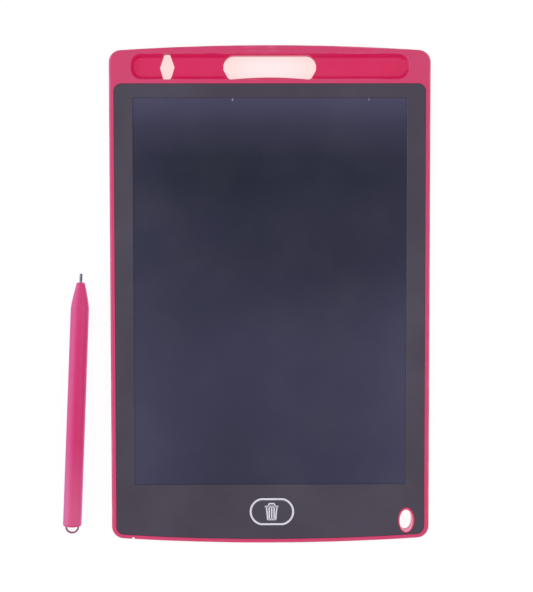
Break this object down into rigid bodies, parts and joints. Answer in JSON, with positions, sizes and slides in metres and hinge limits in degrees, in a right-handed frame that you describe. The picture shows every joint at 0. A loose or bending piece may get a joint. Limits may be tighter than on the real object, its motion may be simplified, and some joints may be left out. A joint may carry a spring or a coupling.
{
  "type": "lcd writing tablet",
  "caption": "Thin handheld writing tablet with a dark pressure-sensitive window, a push key that erases it, a pen groove with finger and prop openings, and a separate stylus.",
  "frame": {"origin": "middle of the flat back face of the tablet", "axes": "+Z out of the screen, +Y along the tablet towards the pen groove, +X to the right seen from the front"},
  "size_m": [0.1673, 0.226, 0.0084],
  "materials": {
    "pink_shell": "satin moulded, slightly rubbed on the edges",
    "stylus_pink": "smooth moulded",
    "loop_crimson": "smooth moulded, darker",
    "tip_metal": "turned, dull",
    "mask_black": "satin printed film",
    "knob_black": "fine matt",
    "tape": "plain",
    "writing_film": "fine anti-glare",
    "liquid_crystal": "clear dark blue",
    "rear_film": "clear",
    "absorber": "flat black",
    "board_green": "solder mask",
    "chip_black": "moulded",
    "ferrite": "sintered",
    "ceramic_tan": "fired",
    "steel": "brushed",
    "gasket": "plain",
    "nickel": "plated",
    "flex_amber": "film",
    "bronze": "bright"
  },
  "bodies": {
    "tablet": {"front_frame": "pink_shell", "rear_cover": "pink_shell", "mask_film": "mask_black", "mask_tape": "tape", "writing_film": "writing_film", "liquid_crystal_layer": "liquid_crystal", "rear_film": "rear_film", "light_absorber_sheet": "absorber", "circuit_board": "board_green", "driver_chip": "chip_black", "boost_inductor": "ferrite", "storage_capacitor": "ceramic_tan", "filter_capacitor": "ceramic_tan", "rectifier_diode": "chip_black", "snap_dome": "steel", "coin_cell_can": "steel", "coin_cell_cap": "steel", "coin_cell_gasket": "gasket", "negative_contact": "nickel", "positive_contact": "nickel", "display_flex_tail": "flex_amber"},
    "erase_key": {"erase_key": "mask_black"},
    "lock_slider": {"lock_knob": "knob_black", "lock_wiper": "bronze"},
    "battery_cover": {"battery_cover": "pink_shell", "cover_screw": "steel"},
    "stylus": {"stylus_tip": "tip_metal", "stylus_nose": "stylus_pink", "stylus_barrel": "stylus_pink", "stylus_end_plug": "loop_crimson"}
  },
  "joints": [
    {"name": "erase_key_press", "type": "slide", "parent": "tablet", "child": "erase_key", "axis": [0, 0, -1], "range_m": [0, 0.0003], "stiffness_N_per_m": 4000, "springref_m": -0.0001, "deforming": ["snap_dome"]},
    {"name": "lock_slide", "type": "slide", "parent": "tablet", "child": "lock_slider", "axis": [1, 0, 0], "range_m": [0, 0.002]},
    {"name": "battery_cover_lift", "type": "slide", "parent": "tablet", "child": "battery_cover", "axis": [0, 0, -1], "range_m": [0, 0.015]},
    {"name": "stylus_lift", "type": "slide", "parent": "tablet", "child": "stylus", "axis": [0, 0, 1], "range_m": [0, 0.05]}
  ]
}
